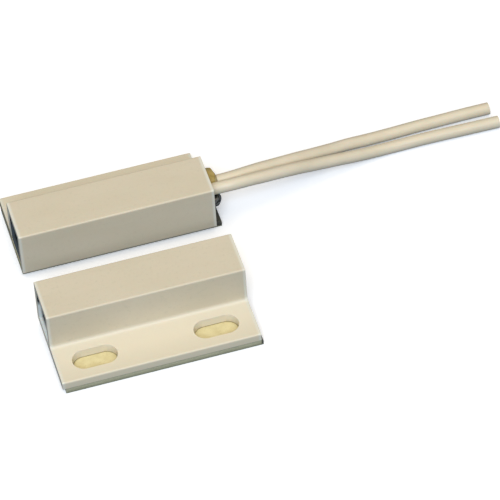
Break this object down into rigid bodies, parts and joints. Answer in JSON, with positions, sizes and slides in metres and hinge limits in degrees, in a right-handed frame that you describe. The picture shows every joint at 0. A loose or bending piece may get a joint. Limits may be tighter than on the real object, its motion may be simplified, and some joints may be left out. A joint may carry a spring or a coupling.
{
  "type": "door contact sensor",
  "caption": "Two-part magnetic door contact: reed switch unit with two free leads and matching magnet unit, each with slotted flange on foam tape.",
  "frame": {"origin": "on the mounting surface, under the middle of the switch unit's block", "axes": "+X along the housings towards the leads, +Y from the magnet unit to the switch unit, +Z out of the mounting surface"},
  "size_m": [0.0977, 0.0497, 0.0113],
  "materials": {
    "housing": "moulded ABS, cream, fine matt texture",
    "potting": "poured epoxy, amber-brown, glossy",
    "sleeve": "silicone tube, white, soft sheen",
    "glass": "clear glass with a green cast",
    "reed_alloy": "nickel-iron, tinned",
    "contact": "plated contact face",
    "solder": "tin solder, bright",
    "copper": "stranded copper",
    "jacket": "extruded PVC insulation, cream, satin",
    "tape": "double-sided foam tape, yellow adhesive",
    "liner": "waxed paper release liner, olive",
    "magnet": "ground ferrite bar",
    "pad": "soft foam strip"
  },
  "bodies": {
    "switch_unit": {"switch_housing": "housing", "switch_potting": "potting", "reed_sleeve": "sleeve", "reed_glass": "glass", "reed_stem_right": "reed_alloy", "reed_stem_left": "reed_alloy", "solder_right": "solder", "solder_left": "solder", "core_front": "copper", "core_rear": "copper", "jacket_front": "jacket", "jacket_rear": "jacket", "lead_front": "jacket", "lead_rear": "jacket", "switch_tape": "tape", "switch_liner": "liner"},
    "magnet_unit": {"magnet_housing": "housing", "bar_magnet": "magnet", "magnet_pad": "pad", "magnet_plug_left": "potting", "magnet_plug_right": "potting", "magnet_tape": "tape", "magnet_liner": "liner"},
    "reed_right": {"reed_blade_right": "reed_alloy", "contact_right": "contact"},
    "reed_left": {"reed_blade_left": "reed_alloy", "contact_left": "contact"}
  },
  "joints": [
    {"name": "magnet_slide", "type": "slide", "parent": "switch_unit", "child": "magnet_unit", "axis": [0, -1, 0], "range_m": [-0.0085, 0.045]},
    {"name": "reed_right_close", "type": "hinge", "parent": "switch_unit", "child": "reed_right", "pos_m": [0.005, -0.0018, 0.00773], "axis": [0, -1, 0], "range_deg": [0, 0.7], "stiffness_Nm_per_rad": 0.002},
    {"name": "reed_left_close", "type": "hinge", "parent": "switch_unit", "child": "reed_left", "pos_m": [-0.005, -0.0018, 0.00733], "axis": [0, -1, 0], "range_deg": [0, 0.7], "stiffness_Nm_per_rad": 0.002}
  ],
  "couplings": [
    {"joint": "reed_left_close", "follows": "reed_right_close", "ratio": 1}
  ]
}
